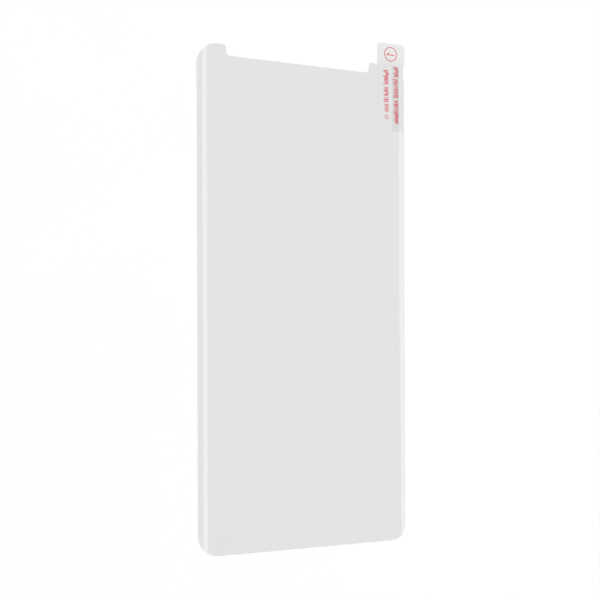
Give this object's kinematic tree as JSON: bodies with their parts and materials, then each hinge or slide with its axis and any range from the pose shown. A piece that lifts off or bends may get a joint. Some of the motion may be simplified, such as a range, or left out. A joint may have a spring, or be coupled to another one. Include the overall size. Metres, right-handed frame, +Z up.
{
  "type": "phone screen protector",
  "caption": "Clear phone screen protector with long edges bent back for a curved screen, rounded corners and a notched top edge, on its release liner with a translucent pull tab.",
  "frame": {"origin": "on the resting surface, under the middle of the outline, tab included", "axes": "+Z up out of the convex outer face, +Y along the length towards the notched end, +X across the width"},
  "size_m": [0.068, 0.1528, 0.0015],
  "materials": {
    "clear_film": "clear gloss film",
    "clear_liner": "clear carrier film",
    "tab_label": "translucent label with red print"
  },
  "bodies": {
    "root": {"protector_film": "clear_film", "release_liner": "clear_liner", "pull_tab": "tab_label"}
  },
  "joints": []
}
